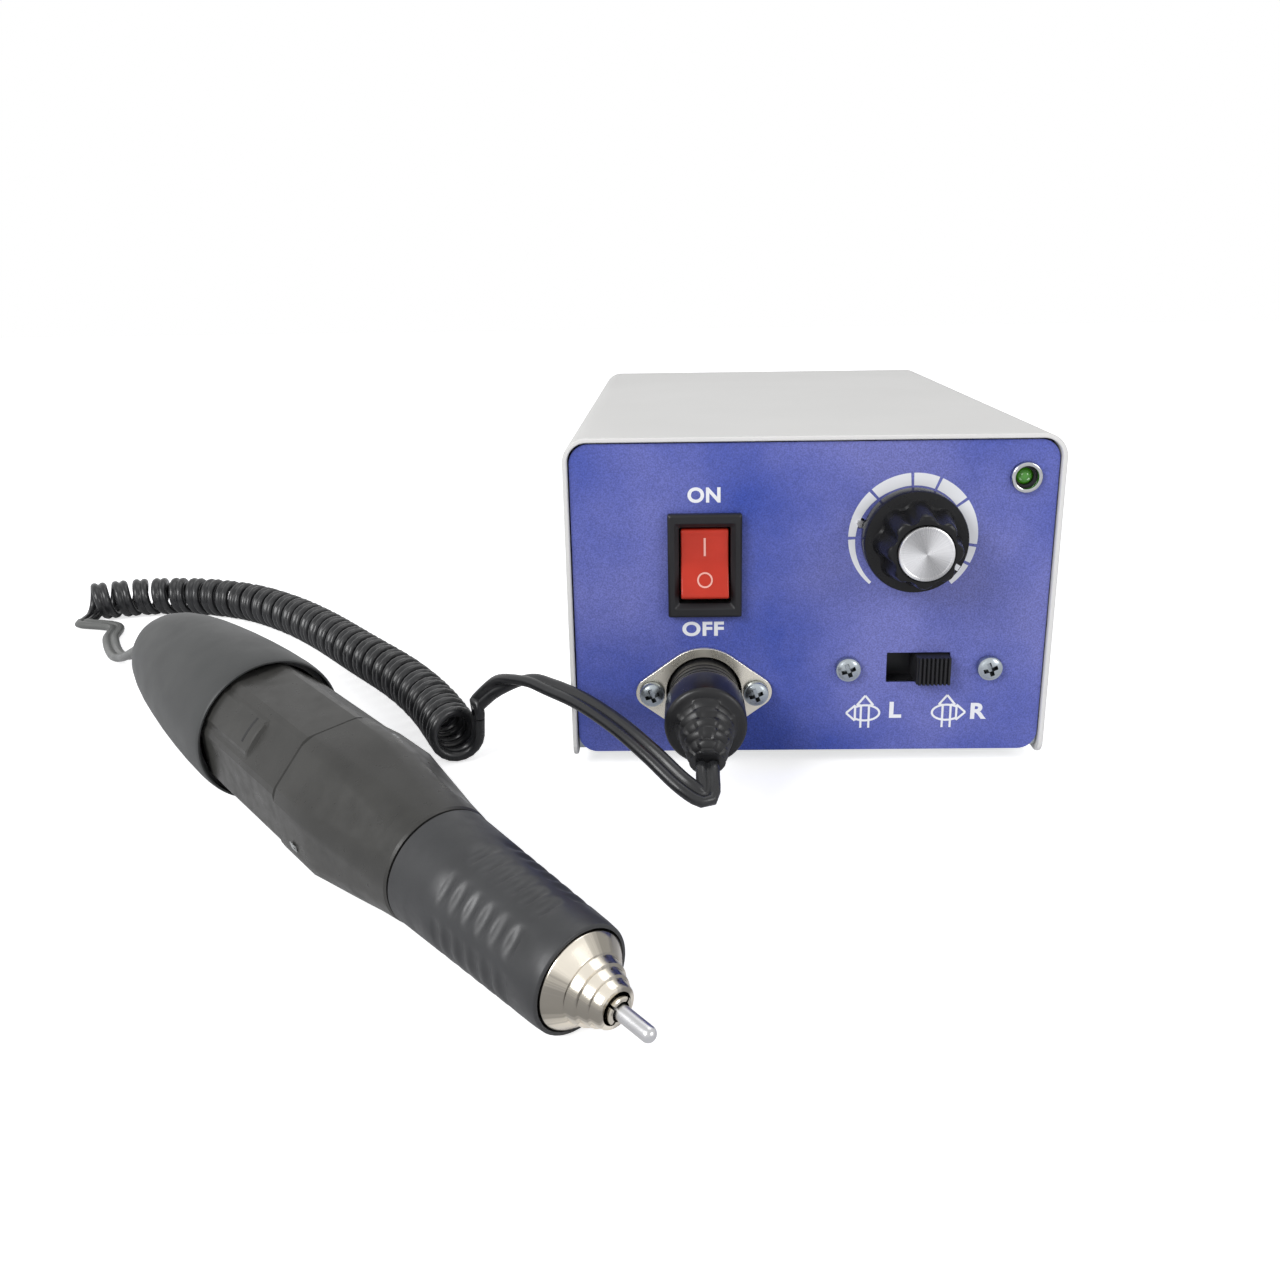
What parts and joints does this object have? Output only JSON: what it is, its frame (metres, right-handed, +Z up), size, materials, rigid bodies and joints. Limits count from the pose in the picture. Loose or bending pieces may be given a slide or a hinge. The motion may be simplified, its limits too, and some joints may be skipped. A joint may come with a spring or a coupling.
{
  "type": "dental micromotor",
  "caption": "Dental laboratory micromotor: speed control box with its curly cord and the motor handpiece that turns a bur in a collet.",
  "frame": {"origin": "middle of the underside of the control box's chassis, 4 mm above the table", "axes": "+Z up; the front panel looks along -Y; +X to the right of someone who faces the panel"},
  "size_m": [0.2681, 0.2324, 0.0741],
  "materials": {
    "cover_paint": "gloss paint",
    "zinc_plate": "zinc plated",
    "blue_overlay": "fine texture, satin",
    "black_moulding": "satin",
    "black_rubber": "matte",
    "red_rocker": "gloss",
    "chrome": "polished",
    "nickel": "nickel plated",
    "turned_aluminium": "turned",
    "steel": "bare steel",
    "copper_winding": "enamelled wire",
    "carbon": "carbon",
    "ferrite": "sintered",
    "green_light": "clear green",
    "circuit_board": "solder resist",
    "rear_cap_grey": "moulded, satin",
    "handpiece_grey": "grey anodised, satin",
    "cord_black": "gloss",
    "lead_grey": "satin"
  },
  "bodies": {
    "control_unit": {"chassis": "zinc_plate", "front_overlay": "blue_overlay", "cover": "cover_paint", "foot_1": "black_rubber", "foot_2": "black_rubber", "foot_3": "black_rubber", "foot_4": "black_rubber", "cover_screw_1": "zinc_plate", "cover_screw_2": "zinc_plate", "cover_screw_3": "zinc_plate", "cover_screw_4": "zinc_plate", "switch_housing": "black_moulding", "speed_potentiometer": "steel", "potentiometer_nut": "zinc_plate", "light_holder": "chrome", "light_lens": "green_light", "direction_switch_body": "black_moulding", "direction_switch_screw_1": "zinc_plate", "direction_switch_screw_2": "zinc_plate", "socket_flange": "nickel", "socket_insert": "black_moulding", "socket_screw_1": "zinc_plate", "socket_screw_2": "zinc_plate", "mains_inlet": "black_moulding", "fuse_holder": "black_moulding", "foot_control_jack": "black_moulding", "transformer_core": "steel", "transformer_coil": "copper_winding", "transformer_bracket": "steel", "circuit_board": "circuit_board", "rear_cap": "rear_cap_grey", "motor_housing": "handpiece_grey", "front_grip": "handpiece_grey", "magnet_ring": "ferrite", "brush_1": "carbon", "brush_2": "carbon", "brush_holder": "black_moulding", "rear_motor_bearing": "steel", "front_motor_bearing": "steel", "rear_spindle_bearing": "steel", "front_spindle_bearing": "steel", "chuck_spring": "steel", "nose_cone": "nickel", "din_plug": "black_moulding", "plug_shell": "nickel", "plug_lead": "cord_black", "curly_cord": "cord_black", "handpiece_lead": "lead_grey"},
    "rocker": {"rocker": "red_rocker"},
    "speed_control": {"speed_knob": "black_moulding", "knob_cap": "turned_aluminium", "potentiometer_shaft": "turned_aluminium"},
    "direction_slider": {"direction_slider": "black_moulding"},
    "fuse_cap": {"fuse_cap": "black_moulding"},
    "chuck_ring": {"chuck_ring": "handpiece_grey"},
    "rotor": {"armature": "steel", "commutator": "copper_winding", "spindle": "steel"},
    "collet": {"collet": "nickel"},
    "mandrel": {"mandrel": "steel"}
  },
  "joints": [
    {"name": "rocker_tilt", "type": "hinge", "parent": "control_unit", "child": "rocker", "pos_m": [-0.0219, -0.0648, 0.042], "axis": [1, 0, 0], "range_deg": [0, 22]},
    {"name": "speed_knob_turn", "type": "hinge", "parent": "control_unit", "child": "speed_control", "pos_m": [0.0202, -0.0662, 0.0476], "axis": [0, 1, 0], "range_deg": [-258, 44]},
    {"name": "direction_slide", "type": "slide", "parent": "control_unit", "child": "direction_slider", "axis": [1, 0, 0], "range_m": [-0.0055, 0]},
    {"name": "fuse_cap_turn", "type": "hinge", "parent": "control_unit", "child": "fuse_cap", "pos_m": [0, 0.0655, 0.044], "axis": [0, 1, 0], "range_deg": [0, 90]},
    {"name": "chuck_ring_turn", "type": "hinge", "parent": "control_unit", "child": "chuck_ring", "pos_m": [-0.08933, -0.09953, 0.00888], "axis": [0.6994, -0.7118, -0.0646], "range_deg": [0, 50]},
    {"name": "rotor_spin", "type": "hinge", "parent": "control_unit", "child": "rotor", "pos_m": [-0.1043, -0.0843, 0.01026], "axis": [0.6994, -0.7118, -0.0646], "continuous": true},
    {"name": "collet_slide", "type": "slide", "parent": "rotor", "child": "collet", "axis": [0.6994, -0.7118, -0.0646], "range_m": [0, 0.00081]},
    {"name": "mandrel_slide", "type": "slide", "parent": "collet", "child": "mandrel", "axis": [0.6994, -0.7118, -0.0646], "range_m": [0, 0.022]}
  ],
  "couplings": [
    {"joint": "collet_slide", "follows": "chuck_ring_turn", "m_per_rad": 0.000917}
  ]
}
